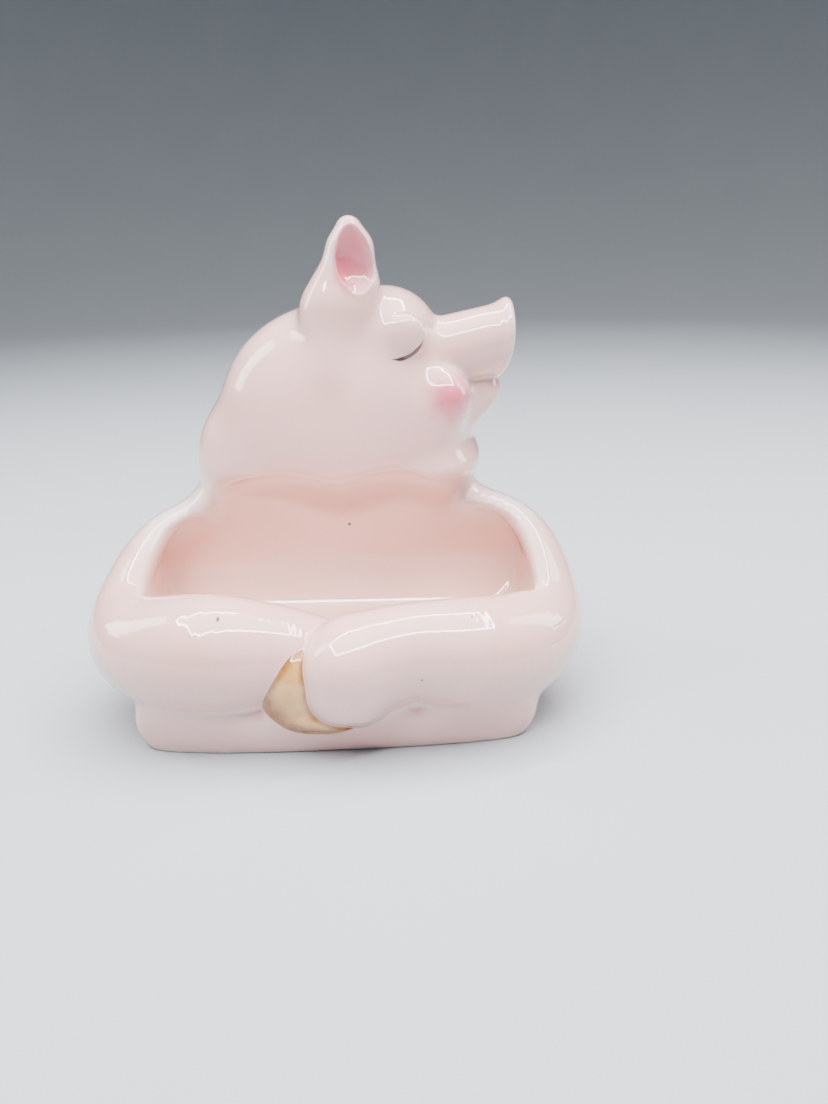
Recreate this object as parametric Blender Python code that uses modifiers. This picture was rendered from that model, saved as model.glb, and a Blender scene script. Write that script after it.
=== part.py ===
"""A glazed earthenware pig holder: an upright pig that hugs an open pocket with its folded arms.

Each cast piece is its own closed solid, with a small gap where it is luted to its neighbour.
Lengths are written in millimetres and turned into Blender's metres by mm() and at().
+Z is up, the arms and the pocket face -Y, and the snout points along +X.
"""

import math

import bmesh
import bpy
from mathutils import Vector

NAME = "pig_holder"

# Driving dimensions, in millimetres.
WALL = 3.6             # thickness of the cast wall
GAP = 0.3              # joint between two luted pieces
MID_Y = 14.0           # the head's own middle plane, because the pig looks along +X
NECK_Z = 61.0          # height of the joint between torso and head
CENTRE = (0.63, 0.0)  # middle of the outline in plan, moved to the origin

PLINTH_SIZE = (106.0, 73.0, 10.0)
PLINTH_CENTRE_Y = 1.0
PLINTH_CORNER = 9.0
PLINTH_FLARE = 1.05    # the foot widens towards its top
PLINTH_EDGE = 1.0
VENT_CENTRE = (0.0, 28.0, 5.0)
VENT_RADIUS = 4.5      # lets air out of the hollow casting when it is fired

POCKET_HALF = (54.0, 15.5)
POCKET_CENTRE = (2.0, 0.5)
POCKET_FLOOR = 20.0
POCKET_CORNER = 9.0

TORSO_CENTRE = (0.0, 17.0, 32.0)
TORSO_RADII = (55.0, 28.0, 37.0)
NECK_CENTRE = (3.0, 22.0, 60.0)
NECK_RADII = (40.0, 20.0, 40.0)
DUCT_CENTRE = (4.0, 29.5, 62.0)   # joins the torso's hollow to the head's
DUCT_RADII = (24.0, 8.0)
DUCT_LENGTH = 32.0
SKULL_CENTRE = (4.0, 14.0, 84.0)
SKULL_RADII = (34.5, 23.5, 29.5)
BROW_CENTRE = (16.5, MID_Y, 104.0)
BROW_RADII = (15.0, 17.0, 13.5)
NAPE_CENTRE = (-20.5, 17.0, 70.0)
NAPE_RADII = (18.5, 16.0, 19.0)
CHEEK_CENTRE = (31.0, 4.0, 89.3)
CHEEK_RADII = (7.6, 9.5, 7.8)
MUZZLE_CENTRE = (27.0, MID_Y, 83.0)
MUZZLE_RADII = (12.0, 20.0, 14.5)
JOWL_CENTRE = (30.0, MID_Y, 68.5)
JOWL_RADII = (13.5, 19.0, 8.0)
EYELID_CENTRE = (21.8, -1.0, 105.5)
EYELID_RADII = (5.9, 3.6, 5.7)
HOOF_CENTRE = (-9.0, -33.3, 19.3)
HOOF_RADII = (10.6, 6.8, 11.2)
HAND_LOW = (-8.4, -45.0, 9.3)      # the blunt end of the left arm, between two corners
HAND_HIGH = (16.0, -21.0, 35.3)
HAND_CORNER = 9.0

SNOUT_ROOT = (29.0, MID_Y, 97.0)
SNOUT_TIP = (50.5, MID_Y, 102.4)
SNOUT_RADII = (10.4, 9.7)
DISC_RADII = (2.2, 9.6, 10.2)
NOSTRIL_RADII = (2.2, 1.7, 2.6)
NOSTRIL_SPREAD = 3.6
JAW_ROOT = (28.0, MID_Y, 79.0)
JAW_TIP = (41.9, MID_Y, 88.0)
JAW_RADII = (11.0, 6.8)

# An ear's core and its bowl: x, distance outwards from the ear's own plane, z, and radius.
EAR_CORE = (
    (5.2, 0.0, 107.0, 10.2),
    (7.0, 0.0, 118.0, 8.5),
    (8.0, 0.0, 127.0, 6.2),
    (7.9, 0.0, 132.3, 3.4),
)
EAR_BOWL = (
    (9.8, 8.4, 119.5, 4.6),
    (9.8, 7.7, 123.0, 5.2),
    (8.9, 6.6, 131.0, 3.6),
)
EAR_SPREAD = 10.0      # each ear's distance from the head's middle plane
EAR_THICKNESS = 12.0

# An arm runs shoulder, elbow, forearm, hand: x, y, z and the arm's radius there.
ARM_RIGHT = (
    (-33.0, 20.0, 48.0, 12.0),
    (-46.5, 11.0, 42.0, 14.0),
    (-54.8, -4.0, 28.0, 15.3),
    (-50.0, -18.0, 25.5, 15.2),
    (-34.0, -26.0, 27.3, 15.5),
    (-18.0, -24.7, 25.4, 13.5),
    (-6.0, -23.0, 22.0, 12.0),
)
ARM_LEFT = (
    (36.0, 20.0, 48.0, 12.0),
    (50.2, 11.0, 41.5, 14.5),
    (56.0, -5.0, 26.0, 15.3),
    (50.0, -19.0, 22.8, 15.0),
    (36.0, -26.0, 24.0, 15.0),
    (21.0, -29.0, 26.4, 13.0),
    (5.8, -31.0, 24.0, 13.9),
)
ARM_STEPS = 3          # sections between two of those points
ROUND_SEGMENTS = 24    # around an ellipsoid
TUBE_RESOLUTION = 6    # gives a limb 16 sides
DOME_ANGLES = (25, 50, 72)

PINK_GLAZE = (0.83, 0.66, 0.63, 1.0)
TAN_GLAZE = (0.52, 0.36, 0.20, 1.0)


# ---------------------------------------------------------------- places and small helpers

def mm(*values):
    """Millimetres to metres."""
    return Vector(values) * 0.001


def at(x, y, z):
    """A place on the object, in metres, measured from the middle of its foot."""
    return mm(x - CENTRE[0], y - CENTRE[1], z)


def collection(name):
    made = bpy.data.collections.new(name)
    bpy.context.scene.collection.children.link(made)
    return made


def clear_scene():
    for obj in list(bpy.data.objects):
        bpy.data.objects.remove(obj, do_unlink=True)


def take(obj, target):
    """Move an object that an operator has just made into one collection."""
    for owner in list(obj.users_collection):
        owner.objects.unlink(obj)
    target.objects.link(obj)
    return obj


def apply_matrix(obj):
    """Write the object's rotation and scale into its mesh and keep its location."""
    turn = obj.matrix_basis.copy()
    turn.translation = (0, 0, 0)
    obj.data.transform(turn)
    obj.rotation_euler = (0, 0, 0)
    obj.scale = (1, 1, 1)
    return obj


def evaluated_mesh(obj):
    """The object's mesh after its modifiers."""
    bpy.context.view_layer.update()
    graph = bpy.context.evaluated_depsgraph_get()
    return bpy.data.meshes.new_from_object(obj.evaluated_get(graph))


def combine(target, tool, operation):
    """Cut, join or intersect the target with another closed mesh."""
    cut = target.modifiers.new(operation.lower(), "BOOLEAN")
    cut.operation = operation
    cut.solver = "EXACT"
    cut.object = tool
    mesh = evaluated_mesh(target)
    target.modifiers.clear()
    old = target.data
    target.data = mesh
    bpy.data.meshes.remove(old)
    return target


def join(target, *tools):
    for tool in tools:
        combine(target, tool, "UNION")
    return target


def cut(target, *tools):
    for tool in tools:
        combine(target, tool, "DIFFERENCE")
    return target


def keep_largest(obj):
    """Drop the crumbs that a cut leaves beside the piece."""
    bm = bmesh.new()
    bm.from_mesh(obj.data)
    bmesh.ops.remove_doubles(bm, verts=bm.verts, dist=1e-6)
    left = set(bm.verts)
    islands = []
    while left:
        stack = [left.pop()]
        island = list(stack)
        while stack:
            for edge in stack.pop().link_edges:
                for vert in edge.verts:
                    if vert in left:
                        left.discard(vert)
                        stack.append(vert)
                        island.append(vert)
        islands.append(island)
    islands.sort(key=len)
    for island in islands[:-1]:
        bmesh.ops.delete(bm, geom=island, context="VERTS")
    bm.to_mesh(obj.data)
    bm.free()
    return obj


# ---------------------------------------------------------------- shapes

def ellipsoid(name, centre, radii, grow=0.0):
    """A UV sphere scaled to three radii; grow makes every radius larger."""
    bpy.ops.mesh.primitive_uv_sphere_add(
        segments=ROUND_SEGMENTS, ring_count=ROUND_SEGMENTS // 2, radius=1.0, location=at(*centre)
    )
    obj = take(bpy.context.object, CUTTERS)
    obj.name = name
    obj.scale = mm(*(r + grow for r in radii))
    return apply_matrix(obj)


def block(name, low, high, corner=0.0, segments=4):
    """A box between two corners, its edges rounded by a bevel."""
    low, high = at(*low), at(*high)
    bpy.ops.mesh.primitive_cube_add(size=1.0, location=(low + high) / 2)
    obj = take(bpy.context.object, CUTTERS)
    obj.name = name
    obj.scale = high - low
    apply_matrix(obj)
    if corner:
        bevel = obj.modifiers.new("rounded", "BEVEL")
        bevel.width = corner * 0.001
        bevel.segments = segments
        bevel.limit_method = "NONE"
        mesh = evaluated_mesh(obj)
        obj.modifiers.clear()
        obj.data = mesh
    return obj


def cylinder(name, centre, radii, height, segments=32):
    bpy.ops.mesh.primitive_cylinder_add(
        vertices=segments, radius=1.0, depth=1.0, location=at(*centre)
    )
    obj = take(bpy.context.object, CUTTERS)
    obj.name = name
    obj.scale = mm(radii[0], radii[1], height)
    return apply_matrix(obj)


def smooth_route(points, steps):
    """Points on a Catmull-Rom curve through the given ones, each a place and a radius."""
    route = [Vector(p) for p in points]
    route = [2 * route[0] - route[1]] + route + [2 * route[-1] - route[-2]]
    made = []
    for a, b, c, d in zip(route, route[1:], route[2:], route[3:]):
        for step in range(steps):
            t = step / steps
            made.append(
                0.5 * (2 * b + (c - a) * t + (2 * a - 5 * b + 4 * c - d) * t * t
                       + (3 * b - a - 3 * c + d) * t ** 3)
            )
    return made + [route[-2]]


def dome(place, inner, radius):
    """The rings of a round end at a place, facing away from the inner point."""
    out = (Vector(place) - Vector(inner)).normalized()
    rings = []
    for degrees in DOME_ANGLES:
        angle = math.radians(degrees)
        rings.append((Vector(place) + out * radius * math.sin(angle), radius * math.cos(angle)))
    return rings


def tube(name, points, grow=0.0):
    """A limb of varying radius with round ends: a bevelled curve, made a mesh."""
    stations = [(Vector(p[:3]), p[3] + grow) for p in points]
    start = dome(stations[0][0], stations[1][0], stations[0][1])
    end = dome(stations[-1][0], stations[-2][0], stations[-1][1])
    stations = start[::-1] + stations + end
    data = bpy.data.curves.new(name + "_route", "CURVE")
    data.dimensions = "3D"
    data.bevel_depth = 0.001
    data.bevel_resolution = TUBE_RESOLUTION
    data.use_fill_caps = True
    spline = data.splines.new("POLY")
    spline.points.add(len(stations) - 1)
    for knot, (place, radius) in zip(spline.points, stations):
        knot.co = (*at(*place), 1.0)
        knot.radius = radius
    curve = bpy.data.objects.new(name + "_route", data)
    CUTTERS.objects.link(curve)
    mesh = evaluated_mesh(curve)
    bm = bmesh.new()
    bm.from_mesh(mesh)
    bmesh.ops.remove_doubles(bm, verts=bm.verts, dist=1e-6)
    bmesh.ops.recalc_face_normals(bm, faces=bm.faces)
    bm.to_mesh(mesh)
    bm.free()
    obj = bpy.data.objects.new(name, mesh)
    CUTTERS.objects.link(obj)
    obj.matrix_world = curve.matrix_world
    bpy.data.objects.remove(curve, do_unlink=True)
    return obj


def horn(name, root, tip, radii, grow=0.0):
    """A straight taper with a round end at both sides."""
    return tube(name, [(*root, radii[0]), (*tip, radii[1])], grow)


# ---------------------------------------------------------------- pieces

def plinth_shape(name, grow=0.0):
    """The foot: a rounded block that widens upwards, flat underneath and on top."""
    half_x, half_y, height = PLINTH_SIZE[0] / 2, PLINTH_SIZE[1] / 2, PLINTH_SIZE[2]
    obj = block(
        name,
        (-half_x - grow, PLINTH_CENTRE_Y - half_y - grow, 0),
        (half_x + grow, PLINTH_CENTRE_Y + half_y + grow, height + grow),
    )
    bm = bmesh.new()
    bm.from_mesh(obj.data)
    upright = [e for e in bm.edges if abs(e.verts[0].co.z - e.verts[1].co.z) > 1e-4]
    bmesh.ops.bevel(
        bm, geom=upright, offset=PLINTH_CORNER * 0.001, segments=6, profile=0.5, affect="EDGES"
    )
    for vert in bm.verts:
        if vert.co.z > 0:
            vert.co.x *= PLINTH_FLARE
            vert.co.y *= PLINTH_FLARE
    rims = [e for e in bm.edges if abs(e.verts[0].co.z - e.verts[1].co.z) < 1e-4]
    bmesh.ops.bevel(bm, geom=rims, offset=PLINTH_EDGE * 0.001, segments=2, profile=0.5, affect="EDGES")
    bm.to_mesh(obj.data)
    bm.free()
    return obj


def base_plinth():
    obj = plinth_shape("base_plinth")
    vent = cylinder("vent", VENT_CENTRE, (VENT_RADIUS, VENT_RADIUS), 2 * PLINTH_SIZE[2])
    return cut(obj, vent)


def pocket_block(name, grow):
    """The pocket's space, or with grow its outer wall, up past the rim."""
    x, y = POCKET_CENTRE
    half_x, half_y = POCKET_HALF
    return block(
        name,
        (x - half_x - grow, y - half_y - grow, POCKET_FLOOR - grow),
        (x + half_x + grow, y + half_y + grow, NECK_Z + 3 * POCKET_CORNER),
        POCKET_CORNER + grow * 0.5,
    )


def below(name, z):
    """Everything under one height."""
    return block(name, (-120, -120, z - 120), (120, 120, z))


def above(name, z):
    return block(name, (-120, -120, z), (120, 120, z + 160))


def body_form(arm_forms):
    """The whole outside of the body under the neck, which the pocket's rim follows."""
    obj = ellipsoid("body_form", TORSO_CENTRE, TORSO_RADII)
    return join(obj, ellipsoid("neck_form", NECK_CENTRE, NECK_RADII), *arm_forms)


def pocket_liner(body):
    """The pocket's floor and walls, trimmed to the surface of the arms and shoulders."""
    obj = pocket_block("pocket_liner", WALL)
    combine(obj, body, "INTERSECT")
    cut(obj, pocket_block("pocket_space", 0.0), above("over_liner", NECK_Z))
    return keep_largest(obj)


def torso_shell(liner_cutter, arm_cutters):
    """The back and shoulders, hollow, open below on the foot and above into the neck."""
    obj = ellipsoid("torso_shell", TORSO_CENTRE, TORSO_RADII)
    join(obj, ellipsoid("neck_root", NECK_CENTRE, NECK_RADII))
    cut(obj, ellipsoid("torso_hollow", TORSO_CENTRE, TORSO_RADII, -WALL))
    cut(obj, neck_duct(), above("over_neck", NECK_Z), below("under_torso", PLINTH_SIZE[2] + GAP))
    cut(obj, liner_cutter, block("front", (-120, -120, 0), (120, 0.0, NECK_Z + 5)), *arm_cutters)
    return keep_largest(obj)


def neck_duct():
    """The passage that joins the torso's hollow to the head's."""
    return cylinder("neck_duct", DUCT_CENTRE, DUCT_RADII, DUCT_LENGTH)


def arm(name, points, cutters):
    """One arm, cast solid, its back shaped to the pocket's wall."""
    obj = tube(name, smooth_route(points, ARM_STEPS))
    if points is ARM_LEFT:
        join(obj, block("hand", HAND_LOW, HAND_HIGH, HAND_CORNER))
    cut(obj, *cutters)
    cut(obj, below(name + "_under", PLINTH_SIZE[2] + GAP), above(name + "_over", NECK_Z - GAP))
    return keep_largest(obj)


def head_form(name, grow=0.0):
    """The outside of the head: skull, neck, nape, brow, muzzle, cheeks and the roll of the throat."""
    obj = ellipsoid(name, SKULL_CENTRE, SKULL_RADII, grow)
    far_cheek = (CHEEK_CENTRE[0], 2 * MID_Y - CHEEK_CENTRE[1], CHEEK_CENTRE[2])
    return join(
        obj,
        ellipsoid("neck", NECK_CENTRE, NECK_RADII, grow),
        ellipsoid("nape", NAPE_CENTRE, NAPE_RADII, grow),
        ellipsoid("brow", BROW_CENTRE, BROW_RADII, grow),
        ellipsoid("muzzle", MUZZLE_CENTRE, MUZZLE_RADII, grow),
        ellipsoid("cheek_near", CHEEK_CENTRE, CHEEK_RADII, grow),
        ellipsoid("cheek_far", far_cheek, CHEEK_RADII, grow),
        ellipsoid("jowl", JOWL_CENTRE, JOWL_RADII, grow),
    )


def head_shell(arm_cutters):
    obj = head_form("head_shell")
    hollow = ellipsoid("head_hollow", SKULL_CENTRE, SKULL_RADII, -WALL)
    cut(hollow, below("head_floor", NECK_Z + 2 * WALL))
    cut(obj, hollow, neck_duct(), below("under_head", NECK_Z + GAP), *arm_cutters)
    return keep_largest(obj)


def snout(head_cutter):
    obj = horn("snout", SNOUT_ROOT, SNOUT_TIP, SNOUT_RADII)
    cut(obj, block("snout_end", (SNOUT_TIP[0], -40, 60), (90, 60, 140)))
    join(obj, ellipsoid("disc", SNOUT_TIP, DISC_RADII))
    for side in (-1, 1):
        place = (SNOUT_TIP[0] + DISC_RADII[0], MID_Y + side * NOSTRIL_SPREAD, SNOUT_TIP[2] + 1)
        cut(obj, ellipsoid("nostril", place, NOSTRIL_RADII))
    return keep_largest(cut(obj, head_cutter))


def lower_jaw(head_cutter):
    obj = horn("lower_jaw", JAW_ROOT, JAW_TIP, JAW_RADII)
    snout_cutter = horn("snout_cut", SNOUT_ROOT, SNOUT_TIP, SNOUT_RADII, GAP)
    return keep_largest(cut(obj, head_cutter, snout_cutter))


def ear(name, side, head_cutter):
    """A leaf that stands on the head, hollowed on the side that faces forwards and out."""
    y = MID_Y + side * EAR_SPREAD
    obj = tube(name, [(x, y + side * out, z, r) for x, out, z, r in EAR_CORE])
    half = EAR_THICKNESS / 2
    flat = block("ear_slab", (-30, y - half, 90), (40, y + half, 145), 2.5)
    combine(obj, flat, "INTERSECT")
    bowl = tube("ear_bowl", [(x, y + side * out, z, r) for x, out, z, r in EAR_BOWL])
    return keep_largest(cut(obj, bowl, head_cutter))


def eyelid(name, side, head_cutter):
    """The closed lid: a low dome on the side of the brow."""
    y = MID_Y + side * (MID_Y - EYELID_CENTRE[1])
    obj = ellipsoid(name, (EYELID_CENTRE[0], y, EYELID_CENTRE[2]), EYELID_RADII)
    return keep_largest(cut(obj, head_cutter))


def hoof(arm_cutters, liner_cutter):
    obj = ellipsoid("hoof_left", HOOF_CENTRE, HOOF_RADII)
    return keep_largest(cut(obj, *arm_cutters, liner_cutter, plinth_shape("foot_cut", GAP)))


# ---------------------------------------------------------------- finish

def material(name, colour, roughness):
    made = bpy.data.materials.new(name)
    made.use_nodes = True
    shader = made.node_tree.nodes["Principled BSDF"]
    shader.inputs["Base Color"].default_value = colour
    shader.inputs["Roughness"].default_value = roughness
    shader.inputs["Metallic"].default_value = 0.0
    return made


def finish(obj, shade):
    """Put a finished piece in the object's own collection, glazed and smooth."""
    take(obj, PIECES)
    obj.data.materials.clear()
    obj.data.materials.append(shade)
    obj.data.shade_smooth()
    obj.data.set_sharp_from_angle(angle=math.radians(35))
    obj.hide_render = False


def hide_cutters():
    for obj in CUTTERS.objects:
        obj.hide_render = True
        obj.display_type = "WIRE"


def main():
    pink = material("pink_glaze", PINK_GLAZE, 0.12)
    tan = material("tan_glaze", TAN_GLAZE, 0.18)
    routes = {side: smooth_route(points, ARM_STEPS)
              for side, points in (("right", ARM_RIGHT), ("left", ARM_LEFT))}
    arm_forms = [tube("arm_form_" + side, route) for side, route in routes.items()]
    arm_cutters = [tube("arm_cut_" + side, route, GAP) for side, route in routes.items()]
    right_cutter, left_cutter = arm_cutters
    low, high = (tuple(v + side * GAP for v in corner)
                 for corner, side in ((HAND_LOW, -1), (HAND_HIGH, 1)))
    join(left_cutter, block("hand_cut", low, high, HAND_CORNER))
    liner_cutter = pocket_block("liner_cut", WALL + GAP)
    head_cutter = head_form("head_cut", GAP)

    finish(base_plinth(), pink)
    finish(pocket_liner(body_form(arm_forms)), pink)
    finish(torso_shell(liner_cutter, arm_cutters), pink)
    finish(arm("arm_left", ARM_LEFT, [liner_cutter]), pink)
    finish(arm("arm_right", ARM_RIGHT, [liner_cutter, left_cutter]), pink)
    finish(hoof(arm_cutters, liner_cutter), tan)
    finish(head_shell(arm_cutters), pink)
    finish(snout(head_cutter), pink)
    finish(lower_jaw(head_cutter), pink)
    for name, side in (("right", -1), ("left", 1)):
        finish(ear("ear_" + name, side, head_cutter), pink)
        finish(eyelid("eyelid_" + name, side, head_cutter), pink)
    hide_cutters()


clear_scene()
PIECES = collection(NAME)
CUTTERS = collection("cutters")
main()
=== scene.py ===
"""Looks of a glazed earthenware pig that hugs an open pocket with its folded arms.

The pig is one smooth glazed surface, as it left the mould. Its form is a distance field, written
in millimetres: fields() holds each cast part, body() blends them. The field is meshed once, cut
along the joints of the CAD nodes, and each cut piece is closed and rides in its node's place.
"""

import math

import bpy
import numpy as np
from mathutils import Matrix


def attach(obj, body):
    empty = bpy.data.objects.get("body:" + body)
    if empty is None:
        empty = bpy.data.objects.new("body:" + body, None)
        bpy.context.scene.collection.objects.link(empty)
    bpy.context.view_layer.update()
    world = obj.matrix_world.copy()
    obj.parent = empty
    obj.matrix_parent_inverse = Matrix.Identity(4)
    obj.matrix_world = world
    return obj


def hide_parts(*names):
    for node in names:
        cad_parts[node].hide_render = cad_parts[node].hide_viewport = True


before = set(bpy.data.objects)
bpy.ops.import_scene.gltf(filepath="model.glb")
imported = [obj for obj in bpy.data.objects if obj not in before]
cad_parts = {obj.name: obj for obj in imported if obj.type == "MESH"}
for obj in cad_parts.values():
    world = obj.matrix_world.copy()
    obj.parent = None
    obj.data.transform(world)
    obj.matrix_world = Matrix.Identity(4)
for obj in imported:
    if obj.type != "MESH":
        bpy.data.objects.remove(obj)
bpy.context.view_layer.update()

# ---------------------------------------------------------------- sizes, in millimetres

MM = 0.001
MM_PER_METRE = 1000.0
TINY = 1e-9                            # keeps a division from failing
CENTRE = np.array([0.63, 0.0, 0.0])    # the field's own frame is offset by this from the CAD's
MID_Y = 14.0                           # the head's own middle plane
NECK_Z = 61.0                          # joint between torso and head
SIDES = {"right": -1, "left": 1}       # the pig's own, and the way each lies along y

GRID = 0.82     # mesh cell
GRID_LOW = np.array([-76.0, -50.0, -3.5])
GRID_SPAN = (152.0, 102.0, 143.0)
COARSE = 5                             # cells in one coarse step, where the field is skipped
BAND_SHARE, BAND_SLACK = 1.05, 2.0     # the fine band: a share of a coarse step, and some more
FAR = 40.0                             # stands for any distance beyond a field's reach
SLOPE_STEP = 0.25
LEAST_SLOPE = 0.2                      # squared; keeps a step towards the surface short
RELAX_ROUNDS = 4
RELAX_SHARE = 0.5                      # of the way to the neighbours' mean, each round
WALL = 3.2                             # thickness of the cast shell
THIN_WALLS = {"ear_right": 1.0, "ear_left": 1.0, "eyelid_right": 1.6, "eyelid_left": 1.6}

PLINTH = ((0, 1, 5), (53.4, 36.5, 11))  # middle and half sizes; what lies below the table is cut off
PLINTH_CORNER = 11.0
PLINTH_FLARE = 0.005                   # widening for each millimetre of height
PLINTH_FLARE_Z = (-2, 12)
PLINTH_BOW = 260.0                     # radius of its front and back edges, seen from above
PLINTH_BOW_X = 2.0
PLINTH_BULGE = 0.4                     # how far the bow passes the box
VENT = (0.0, 28.0)
VENT_RADIUS = 4.5
VENT_TOP = 9.0

# A form is an ellipsoid's middle and its radii. For a paired form of the head, the middle's
# second number is the distance out from the head's middle plane.
TORSO = ((0, 17, 32), (55, 28, 37))
TORSO_FOOT_Z = 4.5                     # the torso stops here, inside the foot
NECK = ((3, 22, 60), (40, 20, 40))
SHOULDER = ((-32, 16, 56), (13, 14, 10))
SHOULDER_LEAN = -35                    # degrees about Y
SKULL = ((4, 14, 84), (34.5, 23.5, 29.5))
BROW = ((16.5, MID_Y, 104), (15, 17, 13.5))
NAPE = ((-20.5, 17, 70), (18.5, 16, 19))
MUZZLE = ((27, 6, 83), (11.5, 14, 14))
CHEEK = ((32, 10, 87.8), (8.2, 9.5, 8.2))
THROAT = ((30, MID_Y, 68.5), (13.5, 19, 8))
EYELID = ((21.8, 14.5, 105.5), (5.8, 3.4, 5.6))
NOSE_DISC = ((51, MID_Y, 103), (3.0, 9.6, 10.2))
NOSTRIL = ((53.6, 3.6, 103), (2.4, 1.7, 2.6))
ELBOW_NUB = ((-68.8, -5, 27.5), (2.3, 2.4, 3.0))
HOOF_TOE = ((-9, -33.3, 19.3), (10.6, 6.6, 11.2))
HOOF_SOLE = ((-3.2, -33.8, 11.8), (10.6, 6.6, 4.3))
HAND = ((3.8, -33, 22.3), (12.2, 12, 13))
HAND_CORNER = 10.5

# A rod has two ends and a radius at each.
SNOUT = ((29, MID_Y, 97.5), (50, MID_Y, 102.3), 10.4, 9.8)
SNOUT_END = 52.6                       # x of the nose's flat end
SNOUT_CUT_Z = 101.0                    # below this the nose slants back by SNOUT_CUT degrees
SNOUT_CUT = 17.0
JAW = ((28, MID_Y, 79), (42.7, MID_Y, 88), 11, 6.8)

# An ear's core, bowl, fold and root: x, distance outwards from the ear's plane, z, and radius.
EAR_SPREAD = 10.0
EAR_HALF_THICKNESS = 6.0
EAR_CORE = ((5.2, 0, 107, 10.2), (7, 0, 118, 8.5), (8, 0, 127, 6.2), (7.9, 0, 132.3, 3.4))
EAR_BOWL = ((10.0, 8.2, 120, 4.5), (10.2, 7.7, 123, 5.7), (9.2, 6.6, 131, 4.0))
EAR_FOLD = ((7.2, 4.9, 120, 2.2), (7.1, 4.4, 125, 2.4), (7.6, 4.8, 130, 1.9))
EAR_ROOT = ((2.5, 1, 112, 8), (1, 7, 97, 4))

# An arm runs shoulder, elbow, forearm, hand: x, y, z and the arm's radius there.
ARM_RIGHT = (
    (-33, 20, 48, 12), (-46.5, 11, 42, 14), (-54.8, -4, 28, 15.3), (-50, -18, 25.5, 15.2),
    (-34, -26, 27.3, 15.5), (-18, -24.7, 25.4, 13.5), (-6, -23, 22, 12),
)
ARM_LEFT = (
    (36, 20, 48, 12), (50.2, 11, 41.5, 14.5), (56, -5, 26, 15.3), (50, -19, 22.8, 15),
    (36, -26, 24, 15), (21, -29, 26.4, 13), (5.8, -31, 24, 13.9),
)
LIMB_STEPS = 8                         # rods between two stations of an arm
CHAIN_BLEND = 1.5                      # between the rods of an ear

POCKET_X = (-52.0, 56.0)
POCKET_Y = (-15.0, 16.0)
POCKET_Z = (20.0, 51.0)
POCKET_CORNER = 13.0
# The pocket's top edge is a soft M: the middle and radii of its two arches, x and z.
POCKET_ARCHES = (((-13.0, 53.0), (22.5, 15.0)), ((17.0, 53.5), (20.0, 15.2)))
POCKET_STEEP_Z = 39.0                  # its back wall is upright here, and curves forward by
POCKET_LEAN = 0.009                    # this times the square of the height above it,
POCKET_SCOOP = 0.03                    # or this times the square of the depth below it

# The rim is rounded over RIM millimetres, over more at its upper corners and less at the chin.
RIM, RIM_CORNER, RIM_CHIN = 7, 12, 3.5
RIM_MID_X = 2
RIM_SIDE_X = (22, 42)
RIM_CORNER_Z = (38, 52)
RIM_CHIN_Z = (52, 60)

# How many millimetres two forms melt together over, where they meet.
BLENDS = {
    "plinth_bow": 4, "plinth_underside": 1.0, "plinth": 3, "vent": 0.8,
    "neck": 6, "shoulder": 8, "torso_head": 10,
    "brow": 6, "nape": 10, "muzzle": 7, "cheek": 4.5, "throat": 8,
    "ear_fold": 1.5, "ear_side": 4, "ear_bowl": 1.2, "ear": 2.5, "ear_root": 8, "eyelid": 2.6,
    "nose_disc": 5, "nose_end": 2.5, "nose_cut": 3, "nostril": 0.8, "lips": 1.5, "face": 4,
    "elbow_nub": 1.5, "hand": 3, "hoof_sole": 3, "crossing": 1.2, "hoof": 0.8, "arms": 6,
    "arch": 7, "pocket_back": 8,
}

# Heights between which each group of forms can matter, so that the rest is skipped.
FOOT_Z = (-FAR, 30)
ARM_Z = (-FAR, 78)
POCKET_REACH_Z = (8, 82)
HEAD_Z = (40, math.inf)
FACE_Z = (54, math.inf)
FACE_BACK_X = 5
EAR_ROOT_Z = (80, math.inf)
EAR_Z = (90, math.inf)


# ---------------------------------------------------------------- distance fields

def soft_min(a, b, blend):
    """The smaller of two fields, rounded where they are within blend of each other."""
    h = np.maximum(blend - np.abs(a - b), 0) / blend
    return np.minimum(a, b) - h * h * h * blend / 6


def soft_max(a, b, blend):
    return -soft_min(-a, -b, blend)


def smooth_step(low, high, value):
    t = np.clip((value - low) / (high - low), 0, 1)
    return t * t * (3 - 2 * t)


def ellipsoid(p, centre, radii, lean=0.0):
    """Distance to an ellipsoid, leaning about Y by so many degrees."""
    q = p - np.array(centre, float)
    if lean:
        c, s = math.cos(math.radians(lean)), math.sin(math.radians(lean))
        q = np.stack((q[:, 0] * c - q[:, 2] * s, q[:, 1], q[:, 0] * s + q[:, 2] * c), 1)
    radii = np.array(radii, float)
    k0 = np.sqrt(((q / radii) ** 2).sum(1))
    k1 = np.sqrt(((q / radii ** 2) ** 2).sum(1)) + TINY
    return k0 * (k0 - 1) / k1


def taper(p, a, b, radius_a, radius_b):
    """Distance to a rod between two spheres of unlike size."""
    a, b = np.array(a, float), np.array(b, float)
    length = math.sqrt((b - a) @ (b - a))
    axis = (b - a) / length
    sine = (radius_a - radius_b) / length
    along = (p - a) @ axis
    across = np.sqrt(np.maximum(((p - a) ** 2).sum(1) - along ** 2, 0))
    centre = np.clip(along - across * sine / math.sqrt(1 - sine * sine), 0, length)
    return np.hypot(along - centre, across) - (radius_a - sine * centre)


def chain(p, stations):
    """Tapers joined end to end; a station is x, y, z and radius."""
    d = None
    for one, two in zip(stations, stations[1:]):
        e = taper(p, one[:3], two[:3], one[3], two[3])
        d = e if d is None else soft_min(d, e, CHAIN_BLEND)
    return d


def rounded_box(p, centre, half, corner):
    q = np.abs(p - np.array(centre, float)) - (np.array(half, float) - corner)
    return np.sqrt((np.maximum(q, 0) ** 2).sum(1)) + np.minimum(q.max(1), 0) - corner


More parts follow.
